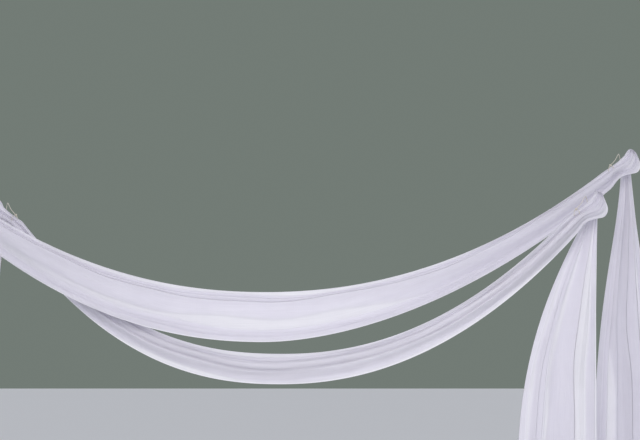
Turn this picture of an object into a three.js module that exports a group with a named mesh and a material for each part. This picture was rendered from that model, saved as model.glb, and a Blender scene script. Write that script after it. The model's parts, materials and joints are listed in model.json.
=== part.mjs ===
// Chuppah canopy: two long lengths of voile, each tied over a bearer at both ends, with a swag between
// the bearers and a tail to floor level at each side. Millimetres, +Z up, front towards -Y.
// The origin is the top of the bearer that carries the lower length at its right end.
import * as THREE from 'three';

const groundZ = -2569;
const tailClearance = 20;      // hems end just above floor level
const hemHeight = 42;
const clothThickness = 14;     // a band of gathered cloth, thicker than one layer
const hemThickness = 18;
const hemSearchStep = 0.001;
const jointGap = 0.3;
const pleats = 4;
const pointsPerPleat = 4;
const swagSteps = 22;
const crownSteps = 14;
const tailSteps = 8;
const swagPleatDepth = 26;
const crownPleatDepth = 13;
const tailPleatDepth = 44;
const cordRadius = 2.5;
const cordSides = 6;
const knotRadius = 9;
const bindingTurns = 2;
const stepsPerTurn = 12;
const tieSteps = 20;
const bindingRise = 13;        // height taken by the turns of a binding
const bindingSideRoom = 7;     // room between the turns and the gathered cloth
const bindingFaceRoom = 6;
const bindingSquareness = 0.4;
const tailY = 110;             // the tails hang behind the bearer by this much

// One crown. The cloth comes up in front of a bearer about 170 thick, fans in to a narrow peak on top of
// it and falls behind it. x is measured outwards from the bearer top, away from the swag, then y and z.
// inner is the swag's lower edge and outer its upper edge, followed over the bearer.
const crownSections = [
  { inner: [-199, -110, -292], outer: [-257, -110, -165] },
  { inner: [-123, -110, -205], outer: [-190, -110, -121] },
  { inner: [-57, -110, -180], outer: [-140, -109, -84] },
  { inner: [8, -112, -165], outer: [-99, -108, -48] },
  { inner: [36, -116, -114], outer: [-59, -90, -11] },
  { inner: [22, -108, -45], outer: [-28, -58, 21] },
  { inner: [18, -62, 10], outer: [-18, -28, 24] },
  { inner: [18, 0, 24], outer: [-16, 0, 24] },
  { inner: [20, 77, -8], outer: [-24, 77, -8] },
  { inner: [22, 109, -75], outer: [-34, 109, -75] },
];
const boundSection = crownSections.at(-1);

// The two lengths. Swag edges hang as power curves through their lowest points. Tail edges are bent curves
// whose points are measured like the crown's, as x and z, except that the last z is the hem's.
const lengths = [
  {
    name: 'lower',
    top: { low: [-2282, -1134], leftPower: 2.37, rightPower: 2.12 },
    bottom: { low: [-2312, -1346], leftPower: 2.3, rightPower: 2.12 },
    left: {
      seat: [-4509, 290, 12],
      innerTail: [[32, -112], [200, -640], [480, -1250], [540]],
      outerTail: [[-36, -112], [-10, -640], [0, -1300], [0]],
    },
    right: {
      seat: [0, 0, 0],
      innerTail: [[24, -112], [-20, -640], [-50, -1300], [-120]],
      outerTail: [[-53, -112], [-340, -640], [-710, -1220], [-640]],
    },
  },
  {
    name: 'upper',
    top: { low: [-2452, -691], leftPower: 2.15, rightPower: 2.08 },
    bottom: { low: [-2447, -1049], leftPower: 2.14, rightPower: 1.8 },
    left: {
      seat: [-5180, 0, 400],
      innerTail: [[34, -112], [180, -640], [560, -1250], [620]],
      outerTail: [[-42, -112], [-60, -640], [-90, -1300], [-60]],
    },
    right: {
      seat: [380, 340, 408],
      innerTail: [[32, -112], [40, -640], [130, -1300], [230]],
      outerTail: [[-40, -112], [-90, -700], [-400, -1350], [-385]],
    },
  },
];

const clothMaterial = () => new THREE.MeshStandardMaterial({ color: 0xe3dfec, roughness: 0.85, metalness: 0 });
const cordMaterial = () => new THREE.MeshStandardMaterial({ color: 0xd9d2c4, roughness: 0.9, metalness: 0 });

// A pleated band through a list of sections, each with an inner and an outer point, the direction that
// faces the bearer and a pleat depth.
function bandGeometry(sections, thickness) {
  const across = pleats * pointsPerPleat + 1;
  const positions = [];
  const index = [];
  const front = (k, i) => k * 2 * across + i;
  const back = (k, i) => front(k, i) + across;
  const quad = (a, b, c, d) => index.push(a, b, c, a, c, d);
  for (const section of sections) {
    for (const side of [-1, 1]) {
      for (let i = 0; i < across; i += 1) {
        const w = i / (across - 1);
        const point = section.inner.clone().lerp(section.outer, w);
        const swing = section.depth * Math.sin(2 * Math.PI * pleats * w) + side * thickness / 2;
        point.addScaledVector(section.facing, swing);
        positions.push(point.x, point.y, point.z);
      }
    }
  }
  const last = sections.length - 1;
  for (let k = 0; k < last; k += 1) {
    for (let i = 0; i < across - 1; i += 1) {
      quad(front(k, i), front(k + 1, i), front(k + 1, i + 1), front(k, i + 1));
      quad(back(k, i), back(k, i + 1), back(k + 1, i + 1), back(k + 1, i));
    }
    quad(front(k, 0), back(k, 0), back(k + 1, 0), front(k + 1, 0));
    quad(front(k, across - 1), front(k + 1, across - 1), back(k + 1, across - 1), back(k, across - 1));
  }
  for (let i = 0; i < across - 1; i += 1) {
    quad(front(0, i), front(0, i + 1), back(0, i + 1), back(0, i));
    quad(front(last, i), back(last, i), back(last, i + 1), front(last, i + 1));
  }
  const geometry = new THREE.BufferGeometry();
  geometry.setAttribute('position', new THREE.Float32BufferAttribute(positions, 3));
  geometry.setIndex(index);
  geometry.computeVertexNormals();
  return geometry;
}

// The section a little way from one section towards the next, so that neighbouring bands keep a gap.
function pulledIn(section, next) {
  const middle = section.inner.clone().lerp(section.outer, 0.5);
  const nextMiddle = next.inner.clone().lerp(next.outer, 0.5);
  const t = jointGap / middle.distanceTo(nextMiddle);
  return {
    inner: section.inner.clone().lerp(next.inner, t),
    outer: section.outer.clone().lerp(next.outer, t),
    facing: section.facing.clone().lerp(next.facing, t).normalize(),
    depth: THREE.MathUtils.lerp(section.depth, next.depth, t),
  };
}

function separated(sections) {
  const last = sections.length - 1;
  const middle = sections.slice(1, last);
  return [pulledIn(sections[0], sections[1]), ...middle, pulledIn(sections[last], sections[last - 1])];
}

const outwards = (side) => (side === 'right' ? 1 : -1);

function endPoint(end, side, [x, y, z]) {
  return new THREE.Vector3(end.seat[0] + outwards(side) * x, end.seat[1] + y, end.seat[2] + z);
}

// Sections of a crown from the swag, over the bearer and down to the neck of the tail.
function crownRun(end, side) {
  const curve = (edge, tail) => {
    const points = crownSections.map((row) => endPoint(end, side, row[edge]));
    points.push(endPoint(end, side, [tail[0][0], tailY, tail[0][1]]));
    return new THREE.CatmullRomCurve3(points, false, 'centripetal');
  };
  const innerCurve = curve('inner', end.innerTail);
  const outerCurve = curve('outer', end.outerTail);
  const run = [];
  for (let k = 0; k <= crownSteps; k += 1) {
    const t = k / crownSteps;
    run.push({ inner: innerCurve.getPoint(t), outer: outerCurve.getPoint(t), depth: crownPleatDepth });
  }
  return run;
}

// One edge of a tail, from the neck to the foot.
function tailEdge(end, side, [neck, pull, bend, [footX]]) {
  const [start, second, third] = [neck, pull, bend].map(([x, z]) => endPoint(end, side, [x, tailY, z]));
  const foot = endPoint(end, side, [footX, tailY, 0]).setZ(groundZ + tailClearance);
  return new THREE.CubicBezierCurve3(start, second, third, foot);
}

// Sections of a tail from the neck down to the foot. The last step is the hem.
function tailRun(end, side) {
  const innerEdge = tailEdge(end, side, end.innerTail);
  const outerEdge = tailEdge(end, side, end.outerTail);
  const heightLeft = (t) => innerEdge.getPoint(t).z - innerEdge.getPoint(1).z;
  let hemStart = 1;
  while (heightLeft(hemStart) < hemHeight) hemStart -= hemSearchStep;
  const places = [];
  for (let k = 0; k <= tailSteps; k += 1) places.push(hemStart * k / tailSteps);
  places.push(1);
  return places.map((t) => ({
    inner: innerEdge.getPoint(t),
    outer: outerEdge.getPoint(t),
    depth: THREE.MathUtils.lerp(crownPleatDepth, tailPleatDepth, t),
  }));
}

// A swag edge between two end points, through its lowest point.
function sagHeight(edge, leftPoint, rightPoint, x) {
  const end = x < edge.low[0] ? leftPoint : rightPoint;
  const power = x < edge.low[0] ? edge.leftPower : edge.rightPower;
  return edge.low[1] + (end.z - edge.low[1]) * ((x - edge.low[0]) / (end.x - edge.low[0])) ** power;
}

// Sections of a swag from its left crown to its right one.
function swagRun(length, leftEnd, rightEnd) {
  const run = [];
  for (let k = 0; k <= swagSteps; k += 1) {
    const t = k / swagSteps;
    const inner = leftEnd.inner.clone().lerp(rightEnd.inner, t);
    const outer = leftEnd.outer.clone().lerp(rightEnd.outer, t);
    inner.z = sagHeight(length.bottom, leftEnd.inner, rightEnd.inner, inner.x);
    outer.z = sagHeight(length.top, leftEnd.outer, rightEnd.outer, outer.x);
    const depth = THREE.MathUtils.lerp(crownPleatDepth, swagPleatDepth, Math.sin(Math.PI * t));
    run.push({ inner, outer, depth });
  }
  return run;
}

function cordGeometry(points, steps) {
  const section = new THREE.Shape();
  for (let i = 0; i < cordSides; i += 1) {
    const angle = 2 * Math.PI * i / cordSides;
    const place = [cordRadius * Math.cos(angle), cordRadius * Math.sin(angle)];
    if (i === 0) section.moveTo(...place);
    else section.lineTo(...place);
  }
  const path = new THREE.CatmullRomCurve3(points, false, 'centripetal');
  return new THREE.ExtrudeGeometry(section, { extrudePath: path, steps, bevelEnabled: false });
}

// Turns of cord round the gathered cloth behind the bearer, an oblong that just clears the pleats.
function bindingPoints(end, side) {
  const inner = endPoint(end, side, boundSection.inner);
  const outer = endPoint(end, side, boundSection.outer);
  const centre = inner.clone().lerp(outer, 0.5);
  const halfWidth = inner.distanceTo(outer) / 2 + cordRadius + bindingSideRoom;
  const halfDepth = crownPleatDepth + clothThickness / 2 + cordRadius + bindingFaceRoom;
  const eased = (value) => Math.sign(value) * Math.abs(value) ** bindingSquareness;
  const points = [];
  const count = bindingTurns * stepsPerTurn;
  for (let i = 0; i <= count; i += 1) {
    const angle = Math.PI + 2 * Math.PI * i / stepsPerTurn;
    const x = outwards(side) * halfWidth * eased(Math.cos(angle));
    const y = halfDepth * eased(Math.sin(angle));
    const z = bindingRise * (i / count - 0.5);
    points.push(centre.clone().add(new THREE.Vector3(x, y, z)));
  }
  return points;
}

// The taut cord from the knot on the swag's upper edge, over the bearer and down to the binding.
const knotPlace = [-195.4, -110.8, -110.4];
const tieStart = [-189, -109, -104];
const tieStretch = [
  [-148, -85, -62],
  [-121, -62, -23],
  [-98, -23, 0],
  [-78, 23, 0],
  [-60, 62, -23],
];
const tieLanding = 16;         // the last stretch drops straight onto the turns

function tieRoute(end, side, bindingEnd) {
  const route = [tieStart, ...tieStretch].map((place) => endPoint(end, side, place));
  route.push(bindingEnd.clone().setZ(bindingEnd.z + tieLanding));
  route.push(bindingEnd.clone().setZ(bindingEnd.z + cordRadius + 2 * jointGap));
  return route;
}

// The direction across each section of a whole length that faces the bearer, on the swag backwards.
function faced(run) {
  const middles = run.map((section) => section.inner.clone().lerp(section.outer, 0.5));
  return run.map((section, k) => {
    const before = middles[Math.max(k - 1, 0)];
    const after = middles[Math.min(k + 1, run.length - 1)];
    const facing = section.outer.clone().sub(section.inner).cross(after.clone().sub(before)).normalize();
    return { ...section, facing };
  });
}

const canopy = new THREE.Group();
canopy.name = 'chuppah_canopy';

function addPiece(name, geometry, material) {
  const mesh = new THREE.Mesh(geometry, material);
  mesh.name = name;
  canopy.add(mesh);
  return mesh;
}

function addBand(name, sections, thickness) {
  addPiece(name, bandGeometry(separated(sections), thickness), clothMaterial());
}

function addTies(name, end, side) {
  const turns = bindingPoints(end, side);
  addPiece(`${name}_binding`, cordGeometry(turns, bindingTurns * stepsPerTurn), cordMaterial());
  const route = tieRoute(end, side, turns.at(-1));
  addPiece(`${name}_tie_cord`, cordGeometry(route, tieSteps), cordMaterial());
  const knot = addPiece(`${name}_knot`, new THREE.IcosahedronGeometry(knotRadius, 1), cordMaterial());
  knot.position.copy(endPoint(end, side, knotPlace));
}

// Each length is one run of sections from its left foot to its right one, cut into its pieces.
for (const length of lengths) {
  const [leftCrown, rightCrown] = ['left', 'right'].map((side) => crownRun(length[side], side));
  const [leftTail, rightTail] = ['left', 'right'].map((side) => tailRun(length[side], side));
  const swag = swagRun(length, leftCrown[0], rightCrown[0]);
  const parts = [
    ['left_hem', [...leftTail.slice(-2)].reverse()],
    ['left_tail', [...leftTail.slice(0, -1)].reverse()],
    ['left_crown', [...leftCrown].reverse()],
    ['swag', swag],
    ['right_crown', rightCrown],
    ['right_tail', rightTail.slice(0, -1)],
    ['right_hem', rightTail.slice(-2)],
  ];
  const run = [parts[0][1][0]];
  for (const [, sections] of parts) run.push(...sections.slice(1));
  const facedRun = faced(run);
  let from = 0;
  for (const [name, sections] of parts) {
    const cut = facedRun.slice(from, from + sections.length);
    addBand(`${length.name}_${name}`, cut, name.endsWith('hem') ? hemThickness : clothThickness);
    from += sections.length - 1;
  }
  for (const side of ['left', 'right']) addTies(`${length.name}_${side}`, length[side], side);
}

export default canopy;
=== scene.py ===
# Chuppah canopy in sheer voile: two gathered lengths tied over bearers, with swags and tails to the floor.
import json
import math

import bmesh
import bpy
import numpy as np
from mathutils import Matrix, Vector


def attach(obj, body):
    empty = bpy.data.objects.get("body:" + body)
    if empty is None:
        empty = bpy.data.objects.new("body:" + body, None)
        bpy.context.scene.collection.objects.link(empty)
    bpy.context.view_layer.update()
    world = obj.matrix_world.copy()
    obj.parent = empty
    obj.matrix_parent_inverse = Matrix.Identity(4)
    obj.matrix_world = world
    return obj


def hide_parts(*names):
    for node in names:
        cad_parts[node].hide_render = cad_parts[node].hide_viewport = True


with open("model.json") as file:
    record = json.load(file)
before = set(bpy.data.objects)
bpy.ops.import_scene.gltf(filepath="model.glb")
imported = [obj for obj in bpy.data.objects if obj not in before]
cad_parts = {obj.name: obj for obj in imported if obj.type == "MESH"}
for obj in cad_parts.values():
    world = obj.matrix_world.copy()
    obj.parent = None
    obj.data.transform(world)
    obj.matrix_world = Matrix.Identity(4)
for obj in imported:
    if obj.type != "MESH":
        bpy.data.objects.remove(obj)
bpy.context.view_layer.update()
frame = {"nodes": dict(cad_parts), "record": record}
seats = {mount["name"]: np.array(mount["pos_m"], float) for mount in frame["record"]["mounts"]}
print("frame loaded:", len(frame["nodes"]), "nodes")

view = {
    "focalMm": 50.0,
    "sensorMm": 36.0,
    "place": (-2.033, -6.365, -1.351),
    "pitchUp": 10.51,                # degrees above level
}


def makeCamera():
    data = bpy.data.cameras.new("photoCamera")
    data.lens = view["focalMm"]
    data.sensor_width = view["sensorMm"]
    camera = bpy.data.objects.new("photoCamera", data)
    camera.location = view["place"]
    camera.rotation_euler = (math.radians(90 + view["pitchUp"]), 0, 0)
    bpy.context.scene.collection.objects.link(camera)
    bpy.context.scene.camera = camera
    bpy.context.scene.view_settings.view_transform = "Standard"


makeCamera()
print("camera placed")

# The way of the cloth, in metres, as in the solids. x is outwards from each seat, away from the swag.
# crownInner follows the swag's lower edge over the bearer, and crownOuter its upper edge.
drape = {
    "groundZ": -2.569,
    "footClear": 0.020,
    "hemHeight": 0.042,
    "clothWidth": 1.50,
    "tailY": 0.110,
    "crownInner": [(-0.199, -0.110, -0.292), (-0.123, -0.110, -0.205), (-0.057, -0.110, -0.180),
                   (0.008, -0.112, -0.165), (0.036, -0.116, -0.114), (0.022, -0.108, -0.045),
                   (0.018, -0.062, 0.010), (0.018, 0.0, 0.024), (0.020, 0.077, -0.008),
                   (0.022, 0.109, -0.075)],
    "crownOuter": [(-0.257, -0.110, -0.165), (-0.190, -0.110, -0.121), (-0.140, -0.109, -0.084),
                   (-0.099, -0.108, -0.048), (-0.059, -0.090, -0.011), (-0.028, -0.058, 0.021),
                   (-0.018, -0.028, 0.024), (-0.016, 0.0, 0.024), (-0.024, 0.077, -0.008),
                   (-0.034, 0.109, -0.075)],
    "peakRow": 7,                    # the place on both edges where the cloth is highest
}

# Swag edges are power curves to the left and right of their low points. Tail edges are curves from the
# neck, bent by two points, all as x and z from the seat, to an x at the foot. Folds are pairs of a share
# of the band and how far the fold laps over, from the swag's lower edge up, and across a tail from its
# inner edge.
lengths = {
    "lower": {
        "top": {"low": (-2.282, -1.134), "left": 2.37, "right": 2.12},
        "bottom": {"low": (-2.312, -1.346), "left": 2.3, "right": 2.12},
        "innerTail": {"left": [(0.032, -0.112), (0.200, -0.640), (0.480, -1.250), 0.540],
                      "right": [(0.024, -0.112), (-0.020, -0.640), (-0.050, -1.300), -0.120]},
        "outerTail": {"left": [(-0.036, -0.112), (-0.010, -0.640), (0.0, -1.300), 0.0],
                      "right": [(-0.053, -0.112), (-0.340, -0.640), (-0.710, -1.220), -0.640]},
        "swagFolds": [(0.41, 0.40), (0.02, 0.3), (0.205, 0.42), (0.04, 0.3), (0.045, 0.42), (0.047, 0.3),
                      (0.096, 0.2)],
        "leftFolds": [(0.10, 0.6), (0.16, 1.0), (0.10, 0.3), (0.20, 0.9), (0.12, 1.1), (0.18, 0.5),
                      (0.11, 0.6)],
        "rightFolds": [(0.05, 0.6), (0.16, -0.3), (0.25, 1.3), (0.38, 0.15), (0.035, 0.6), (0.06, 0.4),
                       (0.105, 0.5)],
        "broadPlace": 0.65,          # where on the band the swag's broad wave starts
        "seed": 11,
    },
    "upper": {
        "top": {"low": (-2.452, -0.691), "left": 2.15, "right": 2.08},
        "bottom": {"low": (-2.447, -1.049), "left": 2.14, "right": 1.8},
        "innerTail": {"left": [(0.034, -0.112), (0.180, -0.640), (0.560, -1.250), 0.620],
                      "right": [(0.032, -0.112), (0.040, -0.640), (0.130, -1.300), 0.230]},
        "outerTail": {"left": [(-0.042, -0.112), (-0.060, -0.640), (-0.090, -1.300), -0.060],
                      "right": [(-0.040, -0.112), (-0.090, -0.700), (-0.400, -1.350), -0.385]},
        "swagFolds": [(0.08, 0.2), (0.04, 0.3), (0.05, 0.42), (0.54, 0.6), (0.086, 0.3), (0.036, 0.3),
                      (0.07, 0.15)],
        "leftFolds": [(0.08, 0.4), (0.20, 1.0), (0.11, 0.2), (0.22, 1.0), (0.08, 0.3), (0.17, 0.6),
                      (0.12, 0.4)],
        "rightFolds": [(0.10, 0.4), (0.10, 0.15), (0.16, 1.15), (0.16, 1.15), (0.15, 0.15), (0.16, 0.4),
                       (0.03, 0.45)],
        "broadPlace": 0.74,
        "seed": 23,
    },
}

# How the cloth is folded, by distance from the peak, in along the swag and down along the tail
folding = {
    "returnShare": 0.022,            # part of the band taken by each hidden return of a fold
    "swagSteps": [0.0, 0.15, 0.35, 0.9, 2.4],
    "swagLean": [0.003, 0.006, 0.022, 0.048, 0.058],         # how far the folds lap over
    "swagDepth": [0.014, 0.016, 0.018, 0.019, 0.019],        # how far they stand forward
    "swagBroad": [0.0, 0.002, 0.008, 0.010, 0.004],          # height of the broad wave
    "tailSteps": [0.0, 0.20, 0.5, 1.2, 2.6],
    "tailLean": [0.003, 0.004, 0.018, 0.040, 0.052],
    "tailDepth": [0.014, 0.014, 0.018, 0.018, 0.018],
    "tailBroad": [0.0, 0.0, 0.010, 0.016, 0.020],
    "broadPitch": 0.60,              # share of the band from one broad wave to the next
    "tailBroadPlace": 0.65,          # where on the band that wave starts on a tail
    "broadTurn": 0.5,                # how far it moves to and fro across the band, in radians
    "swagOwn": [0.0, 0.3, 1.0],      # distances over which the swag's own fold widths come in
    "tailOwn": [0.15, 0.5, 1.1],
    "ownShare": [0.35, 0.75, 1.0],
    "fanPull": 0.70,                 # in the fan the folds lie closer to its upper edge by this power
    "fanAt": 0.15,
    "fanReach": 0.08,
    "widthWander": (0.22, 2.1),      # how much the folds' widths change, and over what length
    "returnWander": (0.25, 1.7),
    "frontWander": (0.22, 1.9),      # the same for how far their fronts and their hidden sides reach
    "hiddenWander": (0.22, 2.3),
    "swagTuck": 3.0,                 # how much further the hidden side of each fold reaches, on the swag
    "tailTuck": 2.4,                 # and on the tails
    "edgeGap": 0.026,                # least step from one fold's edge to the next, as a share of the band
    "layerGap": 0.085,               # the same for the middles of the panels, so that no layers touch
    "roundness": 0.22,               # share of the band over which a fold comes forward
    "tilt": 1.4,                     # how steadily the folds step forward across the band
    "noseRound": 0.10,               # how softly the cloth turns back at each edge
    "panelPoints": 17,               # points across each panel of cloth, and across the return behind it
    "returnPoints": 7,
    "gathers": [(10, 0.0020, 0.35), (5.3, 0.0019, 1.3)],     # pleats across, their depth, how far they run
    "gatherTurn": 0.3,               # how far they move to and fro across the band, in turns
    "rippleDepth": 0.0014,
    "ripplePitch": 1.1,              # length over which a ripple comes and goes
    "ripples": 6,
    "rippleFirst": 2,                # half waves across the band in the first ripple
    "rippleNext": 1.7,               # and how many more in each one after it
    "turnPitch": 3.5,
}

# How finely the lengths are worked out, in steps and in metres
sampling = {
    "crownSpan": 12,                 # steps from one point of a crown's edge to the next
    "tailSpan": 60,
    "swagSpan": 160,
    "spacing": 0.004,
    "edgeRound": 0.010,
    "facingRound": 0.012,
    "zoneRound": 0.05,               # how softly the values of one zone turn into those of the next
    "crossover": 0.08,
    "panelSteps": 24,                # steps across each panel of cloth, before it is drawn
    "fromPeak": [0.0, 0.25, 0.6],    # distances from a peak, and how far apart the cross lines are there
    "stationStep": [0.0065, 0.010, 0.030],
    "hemTuck": 0.005,                # the cloth ends this far inside the hem
}


def outwards(side):                              # the way along x that leads away from the swag
    return 1 if side == "right" else -1


def endPoint(seat, side, place):
    return np.array([seat[0] + outwards(side) * place[0], seat[1] + place[1], seat[2] + place[2]])


def smoothPath(points, stepsPerSpan):            # centripetal Catmull-Rom through every point
    given = np.array(points, float)
    p = np.vstack([2 * given[0] - given[1], given, 2 * given[-1] - given[-2]])
    path = []
    for k in range(1, len(p) - 2):
        p0, p1, p2, p3 = p[k - 1:k + 3]
        t1 = np.linalg.norm(p1 - p0) ** 0.5
        t2 = t1 + np.linalg.norm(p2 - p1) ** 0.5
        t3 = t2 + np.linalg.norm(p3 - p2) ** 0.5
        for step in range(stepsPerSpan):
            t = t1 + (t2 - t1) * step / stepsPerSpan
            a1 = p0 + (p1 - p0) * t / t1
            a2 = p1 + (p2 - p1) * (t - t1) / (t2 - t1)
            a3 = p2 + (p3 - p2) * (t - t2) / (t3 - t2)
            b1 = a1 + (a2 - a1) * t / t2
            b2 = a2 + (a3 - a2) * (t - t1) / (t3 - t1)
            path.append(b1 + (b2 - b1) * (t - t1) / (t2 - t1))
    path.append(p[-2])
    return np.array(path)


def tailEdge(seat, side, edge, steps):           # from the neck down to the foot
    start, pull, bend = [endPoint(seat, side, (x, drape["tailY"], z)) for x, z in edge[:3]]
    foot = endPoint(seat, side, (edge[3], drape["tailY"], 0))
    foot[2] = drape["groundZ"] + drape["footClear"]
    t = np.linspace(0, 1, steps + 1)[:, None]
    return (1 - t) ** 3 * start + 3 * t * (1 - t) ** 2 * pull + 3 * t ** 2 * (1 - t) * bend + t ** 3 * foot


def crownEdge(seat, side, row, tail, stepsPerSpan):
    points = [endPoint(seat, side, place) for place in drape[row]]
    points.append(endPoint(seat, side, (tail[0][0], drape["tailY"], tail[0][1])))
    return smoothPath(points, stepsPerSpan)


def sagEdge(edge, left, right, steps):
    path = np.linspace(left, right, steps + 1)
    lowX, lowZ = edge["low"]
    onLeft = path[:, 0] < lowX
    end = np.where(onLeft, left[0], right[0])
    endZ = np.where(onLeft, left[2], right[2])
    power = np.where(onLeft, edge["left"], edge["right"])
    share = np.clip((path[:, 0] - lowX) / (end - lowX), 0, 1)
    path[:, 2] = lowZ + (endZ - lowZ) * share ** power
    return path


def softened(values, spacing, reach):            # rounds off corners along a run
    half = int(3 * reach / spacing)
    kernel = np.exp(-0.5 * (np.arange(-half, half + 1) * spacing / reach) ** 2)
    kernel /= kernel.sum()
    flat = values.reshape(len(values), -1)
    smooth = []
    for column in flat.T:
        before = 2 * column[0] - column[half:0:-1]
        after = 2 * column[-1] - column[-2:-half - 2:-1]
        smooth.append(np.convolve(np.concatenate([before, column, after]), kernel, "valid"))
    return np.array(smooth).T.reshape(values.shape)


def buildRun(name):                              # both edges of a length, from foot to foot
    length = lengths[name]
    crownSpan = sampling["crownSpan"]
    tailSpan = sampling["tailSpan"]
    edges = []
    for crownRow, tailRow, sag in (("crownInner", "innerTail", "bottom"), ("crownOuter", "outerTail", "top")):
        crowns = {}
        tails = {}
        for side in ("left", "right"):
            seat = seats[side + "_" + name + "_seat"]
            tail = length[tailRow][side]
            crowns[side] = crownEdge(seat, side, crownRow, tail, crownSpan)
            tails[side] = tailEdge(seat, side, tail, tailSpan)
        swag = sagEdge(length[sag], crowns["left"][0], crowns["right"][0], sampling["swagSpan"])
        edges.append(np.vstack([tails["left"][::-1], crowns["left"][-2::-1], swag[1:], crowns["right"][1:],
                                tails["right"][1:]]))
    inner, outer = edges
    crownSteps = len(drape["crownInner"]) * crownSpan
    fromFoot = tailSpan + crownSteps - drape["peakRow"] * crownSpan
    middle = (inner + outer) / 2
    along = np.concatenate([[0], np.cumsum(np.linalg.norm(np.diff(middle, axis=0), axis=1))])
    spacing = sampling["spacing"]
    even = np.arange(0, along[-1], spacing)
    inner, outer = [softened(np.column_stack([np.interp(even, along, edge[:, k]) for k in range(3)]),
                             spacing, sampling["edgeRound"]) for edge in (inner, outer)]
    facing = np.cross(outer - inner, np.gradient((inner + outer) / 2, axis=0))
    facing /= np.linalg.norm(facing, axis=1)[:, None]
    facing = softened(facing, spacing, sampling["facingRound"])
    facing /= np.linalg.norm(facing, axis=1)[:, None]
    return {"s": even, "inner": inner, "outer": outer, "facing": facing, "total": even[-1],
            "peaks": [along[fromFoot], along[len(along) - 1 - fromFoot]]}


def wander(rng, s, pitch):                       # a smooth random line, about -1 to 1
    waves = 4
    shorter = 0.7                                # each next wave is shorter by this, and lower
    height = 1.6
    value = np.zeros(len(s))
    for part in range(waves):
        wave = pitch / (1 + shorter * part)
        value += np.sin(2 * np.pi * s / wave + rng.uniform(0, 2 * np.pi)) / (1 + part)
    return value / height


def alongLength(run, name):                      # every changing value, at each place along the length
    length = lengths[name]
    s = run["s"]
    spacing = s[1] - s[0]
    peakLeft, peakRight = run["peaks"]
    onLeft = s < (peakLeft + peakRight) / 2
    inward = np.where(onLeft, s - peakLeft, peakRight - s)
    inSwag = inward > 0
    swagD = np.clip(inward, 0, None)
    tailD = np.clip(-inward, 0, None)

    def zoned(what):
        value = np.where(inSwag, np.interp(swagD, folding["swagSteps"], folding["swag" + what]),
                         np.interp(tailD, folding["tailSteps"], folding["tail" + what]))
        return softened(value, spacing, sampling["zoneRound"])

    own = np.where(inSwag, np.interp(swagD, folding["swagOwn"], folding["ownShare"]),
                   np.interp(tailD, folding["tailOwn"], folding["ownShare"]))
    own = softened(own, spacing, sampling["zoneRound"])
    toTail = softened(np.where(inSwag, 0.0, 1.0), spacing, sampling["crossover"])
    fan = 1 - (1 - folding["fanPull"]) * np.exp(-((inward - folding["fanAt"]) / folding["fanReach"]) ** 2)
    rng = np.random.default_rng(length["seed"])

    def change(kind):
        amount, pitch = folding[kind]
        return amount * wander(rng, s, pitch)

    foldCount = len(length["swagFolds"])
    shares = []
    reaches = [np.zeros(len(s))]
    for k in range(foldCount):
        swagRise, swagReach = length["swagFolds"][k]
        tailRise, tailReach = [np.where(onLeft, length["leftFolds"][k][j], length["rightFolds"][k][j])
                               for j in (0, 1)]
        rise = (swagRise ** (1 - toTail) * tailRise ** toTail) ** own * (1 / foldCount) ** (1 - own)
        shares.append(rise * np.exp(change("widthWander")))
        shares.append(folding["returnShare"] * np.exp(change("returnWander")))
        reach = 1 + (swagReach * (1 - toTail) + tailReach * toTail - 1) * own
        tailTuck = 1 + (folding["tailTuck"] - 1) * toTail
        swagTuck = 1 + (folding["swagTuck"] - 1) * (1 - toTail)
        reaches.append(reach * tailTuck * (1 + change("frontWander")))
        reaches.append(-reach * swagTuck * (1 + change("hiddenWander")))
    reaches[-1] = np.zeros(len(s))
    shares = np.array(shares).T
    shares /= shares.sum(axis=1)[:, None]
    places = np.hstack([np.zeros((len(s), 1)), np.cumsum(shares, axis=1)])
    broadPlace = length["broadPlace"] * (1 - toTail) + folding["tailBroadPlace"] * toTail
    return {"lean": zoned("Lean"), "depth": zoned("Depth"), "broad": zoned("Broad"), "broadPlace": broadPlace,
            "fan": fan, "places": places, "reaches": np.array(reaches).T, "fromPeak": np.abs(inward),
            "ripples": [wander(rng, s, folding["ripplePitch"]) for _ in range(folding["ripples"])],
            "gatherTurn": wander(rng, s, folding["turnPitch"]),
            "broadTurn": wander(rng, s, folding["turnPitch"])}


def apart(places, gap):                          # keeps each place clear of the one before it
    steps = gap * np.arange(len(places))
    return np.maximum.accumulate(places - steps) + steps


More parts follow.
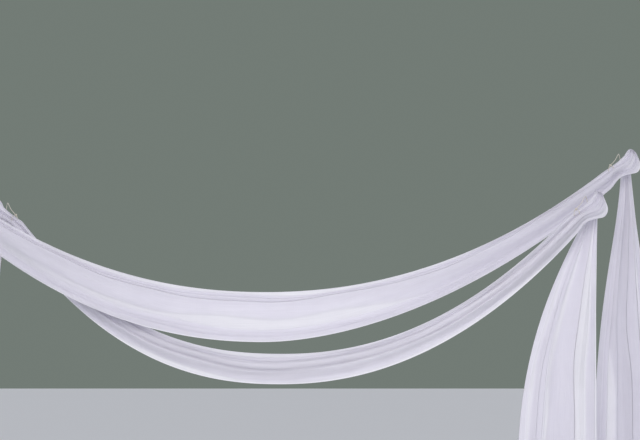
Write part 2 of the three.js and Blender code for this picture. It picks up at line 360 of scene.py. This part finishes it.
def foldLine(run, values, index):                # one cross line of the cloth, finely drawn
    inner = run["inner"][index]
    outer = run["outer"][index]
    band = np.linalg.norm(outer - inner)
    lap = values["lean"][index] / band
    knots = values["places"][index] ** values["fan"][index] + lap * values["reaches"][index]
    knots[0::2] = apart(knots[0::2], folding["edgeGap"])
    knots[1::2] = apart(knots[1::2], folding["edgeGap"])
    middles = apart((knots[0:-1:2] + knots[1::2]) / 2, folding["layerGap"])
    middles = np.append(middles, 2 * middles[-1] - middles[-2])

    steps = sampling["panelSteps"]
    phase = np.arange(steps * (len(knots) - 1) + 1) / steps
    ease = (1 - np.cos(np.pi * (phase % 1))) / 2
    w = np.interp(np.floor(phase) + ease, np.arange(len(knots)), knots)
    panel = np.floor(phase / 2) + np.clip(phase % 2 - 1, 0, 1)     # counts on by one through each return
    # kept just short of the last middle, because no panel follows it
    panel = np.clip(panel, 0, len(middles) - 1.001)
    before = panel.astype(int)
    forward = [np.tanh((w - middles[k]) / folding["roundness"]) + folding["tilt"] * (w - middles[k])
               for k in (before, before + 1)]
    out = forward[0] + (forward[1] - forward[0]) * (panel - before)
    w, out = softened(np.column_stack([w, out]), 1 / steps, folding["noseRound"]).T
    w = (w - w.min()) / (w.max() - w.min())

    out = values["depth"][index] * out
    for count, gatherDepth, fade in folding["gathers"]:
        gather = gatherDepth * math.exp(-values["fromPeak"][index] / fade)
        turn = folding["gatherTurn"] * values["gatherTurn"][index]
        out = out + gather * np.sin(2 * np.pi * (count * w + turn))
    wave = (w - values["broadPlace"][index]) / folding["broadPitch"]
    turn = folding["broadTurn"] * values["broadTurn"][index]
    out = out - values["broad"][index] * np.sin(2 * np.pi * wave + turn)
    for k, ripple in enumerate(values["ripples"]):
        halfWaves = folding["rippleFirst"] + folding["rippleNext"] * k
        out = out + folding["rippleDepth"] * ripple[index] * np.sin(np.pi * halfWaves * w + k)
    return phase, inner + (outer - inner) * w[:, None] - run["facing"][index] * out[:, None]


def columnPhases():                              # the same places on every fold, closer together at its edges
    phases = []
    for start in range(2 * len(lengths["lower"]["swagFolds"])):
        count = folding["returnPoints"] if start % 2 else folding["panelPoints"]
        t = np.arange(count) / count
        phases.append(start + (t + np.arccos(1 - 2 * t) / np.pi) / 2)
    return np.append(np.concatenate(phases), start + 1)


columns = columnPhases()


def crossLine(run, values, s):                   # points across the cloth at s, and their shares of its width
    index = min(int(round(s / run["s"][1])), len(run["s"]) - 1)
    phase, line = foldLine(run, values, index)
    distance = np.concatenate([[0], np.cumsum(np.linalg.norm(np.diff(line, axis=0), axis=1))])
    points = np.column_stack([np.interp(columns, phase, line[:, k]) for k in range(3)])
    return points, np.interp(columns, phase, distance) / distance[-1]


def stationList(run):                            # close together at the crowns, wider apart elsewhere
    peakLeft, peakRight = run["peaks"]
    stations = [drape["hemHeight"] - sampling["hemTuck"]]
    last = run["total"] - stations[0]
    while stations[-1] < last:
        nearest = min(abs(stations[-1] - peakLeft), abs(stations[-1] - peakRight))
        stations.append(stations[-1] + np.interp(nearest, sampling["fromPeak"], sampling["stationStep"]))
    stations[-1] = last
    return np.array(stations)


def newPiece(name, mesh):
    piece = bpy.data.objects.new(name, mesh)
    bpy.context.scene.collection.objects.link(piece)
    return piece


def gridMesh(name, grid, uvGrid, closed):        # rows of points; closed joins the last row to the first
    rowCount, rowPoints, _ = grid.shape
    corner = np.arange(rowCount * rowPoints).reshape(rowCount, rowPoints)
    nextRow = np.roll(corner, -1, axis=0) if closed else corner[1:]
    corner = corner[:len(nextRow)]
    quads = np.stack([corner[:, :-1], nextRow[:, :-1], nextRow[:, 1:], corner[:, 1:]], axis=-1).reshape(-1, 4)
    faces = quads.tolist()
    if closed:
        faces += [list(range(end, rowCount * rowPoints, rowPoints)) for end in (0, rowPoints - 1)]
    mesh = bpy.data.meshes.new(name)
    mesh.from_pydata(grid.reshape(-1, 3).tolist(), [], faces)
    mesh.uv_layers.new(name="clothMetres")
    used = np.concatenate([np.array(face) for face in faces])
    uv = uvGrid.reshape(-1, 2)[used]
    mesh.uv_layers["clothMetres"].data.foreach_set("uv", uv.astype(np.float32).ravel())
    mesh.polygons.foreach_set("use_smooth", [True] * len(mesh.polygons))
    mesh.update()
    if closed:
        shell = bmesh.new()
        shell.from_mesh(mesh)
        bmesh.ops.recalc_face_normals(shell, faces=shell.faces)
        shell.to_mesh(mesh)
        shell.free()
    return mesh


# Node helpers: addNode makes a node and fills its sockets with values or links
def addNode(tree, kind, inputs=None, **settings):
    node = tree.nodes.new(kind)
    for key, value in settings.items():
        setattr(node, key, value)
    for socket, value in (inputs or {}).items():
        if isinstance(value, bpy.types.NodeSocket):
            tree.links.new(value, node.inputs[socket])
        else:
            node.inputs[socket].default_value = value
    return node


def setSockets(node, values):
    for socket, value in values.items():
        node.inputs[socket].default_value = value


def calculate(tree, operation, *values):
    return addNode(tree, "ShaderNodeMath", dict(enumerate(values)), operation=operation).outputs[0]


def newGroup(name, kind, inputs, outputs):       # a node group with named sockets, and its two end nodes
    group = bpy.data.node_groups.new(name, kind)
    for direction, sockets in (("INPUT", inputs), ("OUTPUT", outputs)):
        for label, socketKind in sockets:
            group.interface.new_socket(label, in_out=direction, socket_type="NodeSocket" + socketKind)
    return group, group.nodes.new("NodeGroupInput"), group.nodes.new("NodeGroupOutput")


# Cloth finish, in metres on the cloth
voileLook = {
    "light": (0.90, 0.89, 0.93, 1),
    "shade": (0.81, 0.795, 0.85, 1),
    "threadPitch": 0.0008,
    "streakLength": 0.45,
    "streakWidth": 0.005,
    "sheerest": 0.76,
    "densest": 0.92,
    "selvedge": 0.008,
    "selvedgeFade": 0.002,
    "selvedgeDensity": 0.985,
    "passing": 0.42,                 # share of the light that comes through the cloth
    "passingColor": (0.86, 0.845, 0.905, 1),
    "hemPassing": 0.22,
    "relief": 0.00012,
    "reliefStrength": 0.35,
    "surface": {"Roughness": 0.82, "Specular IOR Level": 0.25, "Sheen Weight": 0.35, "Sheen Roughness": 0.45},
}

# How the threads are mixed: shares of the long streaks, the short ones across them and the broad clouds
weaving = {
    "warpHeight": 4.0,
    "weftShare": 0.15,
    "densityRange": 1.1,
    "cloudShare": 1.8,
    "cloudLength": 0.16,
    "cloudWidth": 0.11,
    "toneRange": 0.6,
    "toneMiddle": 0.55,
    "layers": {"warp": 0.0, "weft": 7.3, "cloud": 3.1},      # where in the noise each of them is read
}


def makeWeaveGroup():                            # plain weave with uneven threads, on the cloth's own metres
    group, given, out = newGroup(
        "voileWeave", "ShaderNodeTree",
        [("Cloth", "Vector"), ("Thread Pitch", "Float"), ("Streak Length", "Float"),
         ("Streak Width", "Float")],
        [("Height", "Float"), ("Density", "Float"), ("Tone", "Float")])
    along, over, _ = addNode(group, "ShaderNodeSeparateXYZ", {0: given.outputs["Cloth"]}).outputs

    def streaks(alongSize, overSize, layer):
        place = addNode(group, "ShaderNodeCombineXYZ", {
            0: calculate(group, "DIVIDE", along, alongSize),
            1: calculate(group, "DIVIDE", over, overSize),
            2: layer})
        noise = addNode(group, "ShaderNodeTexNoise", {"Vector": place.outputs[0], "Scale": 1.0, "Detail": 2.0,
                                                      "Roughness": 0.55})
        return calculate(group, "SUBTRACT", noise.outputs[0], 0.5)

    longSize = given.outputs["Streak Length"]
    thinSize = given.outputs["Streak Width"]
    layers = weaving["layers"]
    warp = streaks(longSize, thinSize, layers["warp"])
    weft = streaks(thinSize, longSize, layers["weft"])
    cloud = streaks(weaving["cloudLength"], weaving["cloudWidth"], layers["cloud"])
    turn = calculate(group, "DIVIDE", math.pi, given.outputs["Thread Pitch"])
    alongWave = calculate(group, "SINE", calculate(group, "MULTIPLY", along, turn))
    overWave = calculate(group, "SINE", calculate(group, "MULTIPLY", over, turn))
    threads = calculate(group, "MULTIPLY", alongWave, overWave)
    height = calculate(group, "MULTIPLY_ADD", warp, weaving["warpHeight"], threads)
    both = calculate(group, "MULTIPLY_ADD", weft, weaving["weftShare"], warp)
    density = calculate(group, "MULTIPLY_ADD", both, weaving["densityRange"], 0.5)
    clouded = calculate(group, "MULTIPLY_ADD", cloud, weaving["cloudShare"], both)
    tone = calculate(group, "MULTIPLY_ADD", clouded, weaving["toneRange"], weaving["toneMiddle"])
    for label, value in (("Height", height), ("Density", density), ("Tone", tone)):
        group.links.new(value, out.inputs[label])
    return group


def newMaterial(name):
    material = bpy.data.materials.new(name)
    material.use_nodes = True
    tree = material.node_tree
    return material, tree, tree.nodes["Principled BSDF"], tree.nodes["Material Output"]


def placeWeave(tree, group):                     # the weave at this cloth's own sizes
    uv = addNode(tree, "ShaderNodeUVMap", uv_map="clothMetres")
    weave = addNode(tree, "ShaderNodeGroup", {
        "Cloth": uv.outputs[0], "Thread Pitch": voileLook["threadPitch"],
        "Streak Length": voileLook["streakLength"], "Streak Width": voileLook["streakWidth"]},
        node_tree=group)
    return uv, weave


def dressCloth(tree, shader, output, weave, passing):
    color = addNode(tree, "ShaderNodeMix", {"Factor": weave.outputs["Tone"], "A": voileLook["shade"],
                                            "B": voileLook["light"]}, data_type="RGBA")
    tree.links.new(color.outputs["Result"], shader.inputs["Base Color"])
    bump = addNode(tree, "ShaderNodeBump", {
        "Height": weave.outputs["Height"], "Distance": voileLook["relief"],
        "Strength": voileLook["reliefStrength"]})
    tree.links.new(bump.outputs[0], shader.inputs["Normal"])
    setSockets(shader, voileLook["surface"])
    through = addNode(tree, "ShaderNodeBsdfTranslucent", {"Color": voileLook["passingColor"]})
    mixed = addNode(tree, "ShaderNodeMixShader", {0: passing, 1: shader.outputs[0], 2: through.outputs[0]})
    tree.links.new(mixed.outputs[0], output.inputs["Surface"])


def makeVoile(group):
    material, tree, shader, output = newMaterial("voile")
    uv, weave = placeWeave(tree, group)
    dressCloth(tree, shader, output, weave, voileLook["passing"])
    over = addNode(tree, "ShaderNodeSeparateXYZ", {0: uv.outputs[0]}).outputs[1]
    fromEdge = calculate(tree, "PINGPONG", over, drape["clothWidth"] / 2)
    edge = addNode(tree, "ShaderNodeMapRange", {
        "Value": fromEdge, "From Min": voileLook["selvedge"],
        "From Max": voileLook["selvedge"] + voileLook["selvedgeFade"],
        "To Min": voileLook["selvedgeDensity"], "To Max": 0.0})
    sheer = addNode(tree, "ShaderNodeMapRange", {"Value": weave.outputs["Density"],
                                                 "To Min": voileLook["sheerest"],
                                                 "To Max": voileLook["densest"]})
    tree.links.new(calculate(tree, "MAXIMUM", edge.outputs[0], sheer.outputs[0]), shader.inputs["Alpha"])
    return material


def makeHemCloth(group):
    material, tree, shader, output = newMaterial("hemCloth")
    _, weave = placeWeave(tree, group)
    dressCloth(tree, shader, output, weave, voileLook["hemPassing"])
    return material


cordLook = {
    "light": (0.74, 0.70, 0.62, 1),
    "shade": (0.50, 0.46, 0.39, 1),
    "thread": (0.92, 0.91, 0.94, 1),
    "threadShade": (0.78, 0.76, 0.82, 1),
    "fibreSize": 0.0009,
    "threadFibreSize": 0.0003,
    "blotchScale": 60.0,             # blotches to a metre, and how strongly they show
    "blotchShare": 0.8,
    "reliefStrength": 0.5,
    "surface": {"Roughness": 0.88, "Sheen Weight": 0.2},
}


def makeFibreGroup():                            # fine spun fibres, lighter and darker
    group, given, out = newGroup("spunFibre", "ShaderNodeTree",
                                 [("Place", "Vector"), ("Fibre Size", "Float")],
                                 [("Height", "Float"), ("Tone", "Float")])
    grow = calculate(group, "DIVIDE", 1.0, given.outputs["Fibre Size"])
    spread = addNode(group, "ShaderNodeVectorMath", {0: given.outputs["Place"], "Scale": grow},
                     operation="SCALE")
    fine = addNode(group, "ShaderNodeTexNoise", {"Vector": spread.outputs[0], "Scale": 1.0, "Detail": 3.0})
    broad = addNode(group, "ShaderNodeTexNoise", {"Vector": given.outputs["Place"], "Detail": 1.0,
                                                  "Scale": cordLook["blotchScale"]})
    blotch = calculate(group, "SUBTRACT", broad.outputs[0], 0.5)
    tone = calculate(group, "MULTIPLY_ADD", blotch, cordLook["blotchShare"], fine.outputs[0])
    group.links.new(fine.outputs[0], out.inputs["Height"])
    group.links.new(tone, out.inputs["Tone"])
    return group


def makeSpun(name, group, light, shade, fibreSize):
    material, tree, shader, _ = newMaterial(name)
    place = addNode(tree, "ShaderNodeTexCoord")
    fibre = addNode(tree, "ShaderNodeGroup", {"Place": place.outputs["Object"], "Fibre Size": fibreSize},
                    node_tree=group)
    color = addNode(tree, "ShaderNodeMix", {"Factor": fibre.outputs["Tone"], "A": shade, "B": light},
                    data_type="RGBA")
    tree.links.new(color.outputs["Result"], shader.inputs["Base Color"])
    bump = addNode(tree, "ShaderNodeBump", {"Height": fibre.outputs["Height"], "Distance": fibreSize / 2,
                                            "Strength": cordLook["reliefStrength"]})
    tree.links.new(bump.outputs[0], shader.inputs["Normal"])
    setSockets(shader, cordLook["surface"])
    return material


weaveGroup = makeWeaveGroup()
fibreGroup = makeFibreGroup()
voile = makeVoile(weaveGroup)
hemCloth = makeHemCloth(weaveGroup)
cordFibre = makeSpun("cordFibre", fibreGroup, cordLook["light"], cordLook["shade"], cordLook["fibreSize"])
sewingThread = makeSpun("sewingThread", fibreGroup, cordLook["thread"], cordLook["threadShade"],
                        cordLook["threadFibreSize"])
print("materials made")


# Cloth
runs = {name: buildRun(name) for name in lengths}
folds = {name: alongLength(runs[name], name) for name in lengths}


def makeLength(name):
    run = runs[name]
    stations = stationList(run)
    lines = [crossLine(run, folds[name], s) for s in stations]
    grid = np.array([points for points, _ in lines])
    over = np.array([shares for _, shares in lines]) * drape["clothWidth"]
    along = np.repeat(stations[:, None], len(columns), axis=1)
    piece = newPiece(name + "_length", gridMesh(name + "_length", grid, np.dstack([along, over]), False))
    piece.data.materials.append(voile)
    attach(piece, "root")
    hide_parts(name + "_swag", *[name + "_" + side + "_" + part for side in ("left", "right")
                                         for part in ("crown", "tail")])
    return piece


cloths = {name: makeLength(name) for name in lengths}
print("lengths made")

# Hems: a sewn fold round each foot, with a row of stitches on both faces
hemming = {
    "halfThickness": 0.0013,
    "section": [(-1, 1.0), (-1, 0.66), (-1.2, 0.25), (-0.9, 0.04), (0, 0.0), (0.9, 0.04), (1.2, 0.25),
                (1, 0.66), (1, 1.0)],            # sideways in half thicknesses, up in hem heights
    "stitchBelowTop": 0.004,
    "stitchSpacing": 0.0052,
    "stitchLength": 0.0034,
    "threadWidth": 0.0007,
}


def footLine(name, side, level):                 # the cloth's cross line a little way above the foot
    run = runs[name]
    s = level if side == "left" else run["total"] - level
    points, shares = crossLine(run, folds[name], s)
    ahead = np.gradient(points, axis=0)
    sideways = np.cross(ahead, (0.0, 0.0, 1.0))
    sideways /= np.linalg.norm(sideways, axis=1)[:, None]
    return points, shares, sideways


def makeHem(name, side):
    rows = []
    uvRows = []
    for offset, height in hemming["section"]:
        level = height * drape["hemHeight"]
        points, shares, sideways = footLine(name, side, level)
        rows.append(points + sideways * offset * hemming["halfThickness"])
        uvRows.append(np.column_stack([np.full(len(shares), level), shares * drape["clothWidth"]]))
    node = name + "_" + side + "_hem"
    piece = newPiece(node + "_fold", gridMesh(node + "_fold", np.array(rows), np.array(uvRows), True))
    piece.data.materials.append(hemCloth)
    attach(piece, "root")
    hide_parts(node)
    return piece


def pathMesh(name, paths):                       # open lines of points for a node tree to follow
    points = []
    edges = []
    for path in paths:
        edges += [(len(points) + k, len(points) + k + 1) for k in range(len(path) - 1)]
        points += [tuple(map(float, place)) for place in path]
    mesh = bpy.data.meshes.new(name)
    mesh.from_pydata(points, edges, [])
    return mesh


def finishTree(tree, geometry, out):             # every node tree ends as one real mesh with its material
    given = next(node for node in tree.nodes if node.bl_idname == "NodeGroupInput")
    smooth = addNode(tree, "GeometryNodeSetShadeSmooth", {"Geometry": geometry})
    real = addNode(tree, "GeometryNodeRealizeInstances", {"Geometry": smooth.outputs[0]})
    painted = addNode(tree, "GeometryNodeSetMaterial", {"Geometry": real.outputs[0],
                                                        "Material": given.outputs["Material"]})
    tree.links.new(painted.outputs[0], out.inputs["Geometry"])


def makeStitchTree():                            # short rounded stitches, end to end along each line
    tree, given, out = newGroup(
        "stitchRow", "GeometryNodeTree",
        [("Geometry", "Geometry"), ("Spacing", "Float"), ("Stitch Length", "Float"),
         ("Thread Width", "Float"), ("Material", "Material")], [("Geometry", "Geometry")])
    line = addNode(tree, "GeometryNodeMeshToCurve", {"Mesh": given.outputs["Geometry"]})
    spots = addNode(tree, "GeometryNodeCurveToPoints", {"Curve": line.outputs[0]}, mode="LENGTH")
    tree.links.new(given.outputs["Spacing"], spots.inputs["Length"])
    stitch = addNode(tree, "GeometryNodeMeshUVSphere", {"Segments": 6, "Rings": 5, "Radius": 0.5})
    width = given.outputs["Thread Width"]
    size = addNode(tree, "ShaderNodeCombineXYZ", {0: width, 1: width, 2: given.outputs["Stitch Length"]})
    placed = addNode(tree, "GeometryNodeInstanceOnPoints", {
        "Points": spots.outputs["Points"], "Instance": stitch.outputs["Mesh"],
        "Rotation": spots.outputs["Rotation"], "Scale": size.outputs[0]})
    real = addNode(tree, "GeometryNodeRealizeInstances", {"Geometry": placed.outputs[0]})
    finishTree(tree, real.outputs[0], out)
    return tree


def makeCordTree():                              # strands laid round each line as a twisted cord
    tree, given, out = newGroup(
        "twistedCord", "GeometryNodeTree",
        [("Geometry", "Geometry"), ("Strands", "Int"), ("Strand Radius", "Float"), ("Lay Radius", "Float"),
         ("Turn Length", "Float"), ("Step", "Float"), ("Material", "Material")], [("Geometry", "Geometry")])
    line = addNode(tree, "GeometryNodeMeshToCurve", {"Mesh": given.outputs["Geometry"]})
    even = addNode(tree, "GeometryNodeResampleCurve", {"Curve": line.outputs[0]}, mode="LENGTH")
    tree.links.new(given.outputs["Step"], even.inputs["Length"])
    strands = addNode(tree, "GeometryNodeDuplicateElements", {"Geometry": even.outputs[0],
                                                              "Amount": given.outputs["Strands"]},
                      domain="SPLINE")
    along = addNode(tree, "GeometryNodeSplineParameter").outputs["Length"]
    turns = calculate(tree, "DIVIDE", along, given.outputs["Turn Length"])
    start = calculate(tree, "DIVIDE", strands.outputs["Duplicate Index"], given.outputs["Strands"])
    angle = calculate(tree, "MULTIPLY", calculate(tree, "ADD", turns, start), 2 * math.pi)
    turned = addNode(tree, "ShaderNodeVectorRotate", {
        "Vector": addNode(tree, "GeometryNodeInputNormal").outputs[0],
        "Axis": addNode(tree, "GeometryNodeInputTangent").outputs[0], "Angle": angle},
        rotation_type="AXIS_ANGLE")
    offset = addNode(tree, "ShaderNodeVectorMath", {
        0: turned.outputs[0], "Scale": given.outputs["Lay Radius"]}, operation="SCALE")
    laid = addNode(tree, "GeometryNodeSetPosition", {"Geometry": strands.outputs["Geometry"],
                                                     "Offset": offset.outputs[0]})
    ring = addNode(tree, "GeometryNodeCurvePrimitiveCircle", {"Resolution": 7,
                                                              "Radius": given.outputs["Strand Radius"]})
    body = addNode(tree, "GeometryNodeCurveToMesh", {
        "Curve": laid.outputs[0], "Profile Curve": ring.outputs[0], "Fill Caps": True})
    finishTree(tree, body.outputs[0], out)
    return tree


def grown(name, paths, tree, material, values):  # runs a node tree along the paths, keeps the plain mesh
    host = newPiece(name + "_way", pathMesh(name + "_way", paths))
    modifier = host.modifiers.new("grow", "NODES")
    modifier.node_group = tree
    for item in tree.interface.items_tree:
        if item.in_out == "INPUT" and item.name in values:
            modifier[item.identifier] = values[item.name]
        if item.in_out == "INPUT" and item.name == "Material":
            modifier[item.identifier] = material
    depsgraph = bpy.context.evaluated_depsgraph_get()
    mesh = bpy.data.meshes.new_from_object(host.evaluated_get(depsgraph))
    mesh.name = name
    bpy.data.objects.remove(host)
    return newPiece(name, mesh)


stitchTree = makeStitchTree()
cordTree = makeCordTree()


def makeStitches(name, side):
    points, _, sideways = footLine(name, side, drape["hemHeight"] - hemming["stitchBelowTop"])
    faces = [points + sideways * way * hemming["halfThickness"] for way in (-1, 1)]
    piece = grown(name + "_" + side + "_hem_stitches", faces, stitchTree, sewingThread, {
        "Spacing": hemming["stitchSpacing"], "Stitch Length": hemming["stitchLength"],
        "Thread Width": hemming["threadWidth"]})
    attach(piece, "root")
    return piece


hemPieces = {name: [] for name in lengths}
for lengthName in lengths:
    for sideName in ("left", "right"):
        hemPieces[lengthName] += [makeHem(lengthName, sideName), makeStitches(lengthName, sideName)]
print("hems sewn")

# Ties: turns of cord round the gathered cloth behind the bearer, a taut cord over it and a knot on the swag
tying = {
    "strandRadius": 0.00125,
    "layRadius": 0.00125,
    "turnLength": 0.016,
    "step": 0.0016,
    "turns": 3,
    "turnSteps": 36,
    "rise": 0.015,
    "halfWidth": 0.0345,
    "halfDepth": 0.0240,
    "squareness": 0.55,
    "route": [(-0.189, -0.109, -0.104), (-0.148, -0.085, -0.062), (-0.121, -0.062, -0.023),
              (-0.098, -0.023, 0.0), (-0.078, 0.023, 0.0), (-0.060, 0.062, -0.023)],
    "landing": [0.016, 0.004],       # heights over the binding's end at which the cord comes down to it
    "routeSteps": 8,
    "knot": (-0.1954, -0.1108, -0.1104),
    "knotSize": 0.0029,
    "knotDepth": 1.3,
    "knotSteps": 90,
    "endLengths": (0.045, 0.032),
    "endStart": (0.006, -0.004, -0.006),
    "endDrop": [(0, 0, 0), (0.2, -0.25, -0.2), (0.34, -0.28, -0.6), (0.36, -0.26, -1)],
    "endSteps": 10,
}


def bindingPath(seat, side):
    inner = endPoint(seat, side, drape["crownInner"][-1])
    outer = endPoint(seat, side, drape["crownOuter"][-1])
    count = tying["turns"] * tying["turnSteps"]
    path = []
    for k in range(count + 1):
        angle = math.pi + 2 * math.pi * k / tying["turnSteps"]
        x, y = [math.copysign(abs(part) ** tying["squareness"], part) for part in (math.cos(angle),
                                                                                   math.sin(angle))]
        path.append((inner + outer) / 2 + (outwards(side) * tying["halfWidth"] * x, tying["halfDepth"] * y,
                                           tying["rise"] * (k / count - 0.5)))
    return np.array(path)


def overPath(seat, side, bindingEnd):
    route = [endPoint(seat, side, place) for place in tying["route"]]
    route += [bindingEnd + (0, 0, height) for height in tying["landing"]]
    return smoothPath(route, tying["routeSteps"])


def knotPaths(seat, side):                       # an overhand knot and its two short ends
    centre = endPoint(seat, side, tying["knot"])
    t = np.linspace(0.0, 2 * math.pi, tying["knotSteps"])
    loop = np.column_stack([outwards(side) * (np.sin(t) + 2 * np.sin(2 * t)),
                            tying["knotDepth"] * np.sin(3 * t),
                            np.cos(t) - 2 * np.cos(2 * t)]) * tying["knotSize"] + centre
    paths = [loop]
    for way, length in zip((-1, 1), tying["endLengths"]):
        sideways = np.array((way, 1, 1))
        start = centre + sideways * tying["endStart"]
        drop = sideways * np.array(tying["endDrop"])
        paths.append(smoothPath(start + drop * length, tying["endSteps"]))
    return paths


def makeTies(name, side):
    seat = seats[side + "_" + name + "_seat"]
    turns = bindingPath(seat, side)
    start = name + "_" + side
    pieces = []
    for node, paths in (("_binding", [turns]), ("_tie_cord", [overPath(seat, side, turns[-1])]),
                        ("_knot", knotPaths(seat, side))):
        piece = grown(start + node + "_twist", paths, cordTree, cordFibre, {
            "Strands": 3, "Strand Radius": tying["strandRadius"], "Lay Radius": tying["layRadius"],
            "Turn Length": tying["turnLength"], "Step": tying["step"]})
        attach(piece, "root")
        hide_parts(start + node)
        pieces.append(piece)
    return pieces


for lengthName in lengths:
    bearers = []
    for sideName in ("left", "right"):
        bearers += makeTies(lengthName, sideName)[:2]
print("ties made")

# Stage
stage = {
    "floor": (0.82, 0.83, 0.82, 1),
    "backdrop": (0.17, 0.20, 0.18, 1),
    "fill": (0.90, 0.92, 1.0, 1),
    "fillStrength": 0.62,
    "halfFloor": 300.0,
    "lights": {
        "key": {"place": (-1.8, -4.5, 0.3), "target": (-2.0, 0.1, 0.0), "size": 2.4, "power": 142,
                "color": (1.0, 0.98, 0.97)},
        "back": {"place": (-2.4, 5.5, 2.2), "target": (-2.0, 0.1, -1.3), "size": 3.0, "power": 120,
                 "color": (1.0, 0.99, 0.97)},
    },
}


def makeFloor():
    half = stage["halfFloor"]
    z = drape["groundZ"]
    corners = [(-half, -half, z), (half, -half, z), (half, half, z), (-half, half, z)]
    mesh = bpy.data.meshes.new("floor")
    mesh.from_pydata(corners, [], [(0, 1, 2, 3)])
    floor = newPiece("floor", mesh)
    material, _, shader, _ = newMaterial("floorPaint")
    setSockets(shader, {"Base Color": stage["floor"], "Roughness": 0.9})
    floor.data.materials.append(material)


def makeWorld():                                 # pale light all round, with a plain grey-green backdrop
    world = bpy.data.worlds.new("studio")
    bpy.context.scene.world = world
    world.use_nodes = True
    tree = world.node_tree
    background = tree.nodes["Background"]
    setSockets(background, {"Color": stage["fill"], "Strength": stage["fillStrength"]})
    seen = addNode(tree, "ShaderNodeBackground", {"Color": stage["backdrop"], "Strength": 1.0})
    rays = addNode(tree, "ShaderNodeLightPath")
    pick = addNode(tree, "ShaderNodeMixShader", {0: rays.outputs["Is Camera Ray"], 1: background.outputs[0],
                                                 2: seen.outputs[0]})
    tree.links.new(pick.outputs[0], tree.nodes["World Output"].inputs["Surface"])


def makeLight(name):
    values = stage["lights"][name]
    data = bpy.data.lights.new(name, "AREA")
    data.size = values["size"]
    data.energy = values["power"]
    data.color = values["color"]
    light = bpy.data.objects.new(name, data)
    light.visible_camera = False
    light.location = values["place"]
    towards = Vector(values["target"]) - Vector(values["place"])
    light.rotation_euler = towards.to_track_quat("-Z", "Y").to_euler()
    bpy.context.scene.collection.objects.link(light)


makeFloor()
makeWorld()
for lightName in stage["lights"]:
    makeLight(lightName)
print("stage made")
